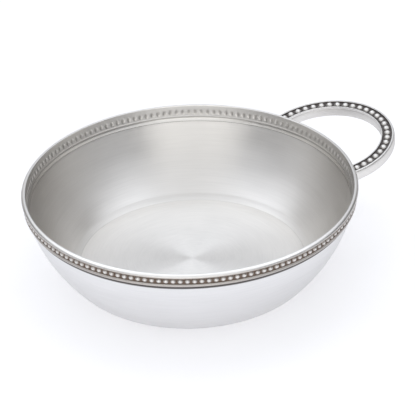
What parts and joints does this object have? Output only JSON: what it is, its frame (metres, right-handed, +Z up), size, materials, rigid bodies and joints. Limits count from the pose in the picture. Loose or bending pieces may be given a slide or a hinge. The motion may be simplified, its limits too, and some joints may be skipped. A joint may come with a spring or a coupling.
{
  "type": "porringer",
  "caption": "Shallow round pewter porringer: a flat-based spun bowl with a beaded border under its rounded lip and a flat beaded loop handle soldered to the rim.",
  "frame": {"origin": "centre of the flat base that the bowl stands on", "axes": "+Z up along the bowl's axis, +X along the handle, away from the bowl"},
  "size_m": [0.145, 0.12, 0.0366],
  "materials": {
    "bowl_pewter": "satin pewter, turned on the lathe",
    "border_pewter": "polished pewter with darkened hollows",
    "handle_pewter": "polished pewter with a darkened channel",
    "solder": "dressed tin solder"
  },
  "bodies": {
    "root": {"bowl": "bowl_pewter", "rim_border": "border_pewter", "handle": "handle_pewter", "handle_solder_left": "solder", "handle_solder_right": "solder"}
  },
  "joints": []
}
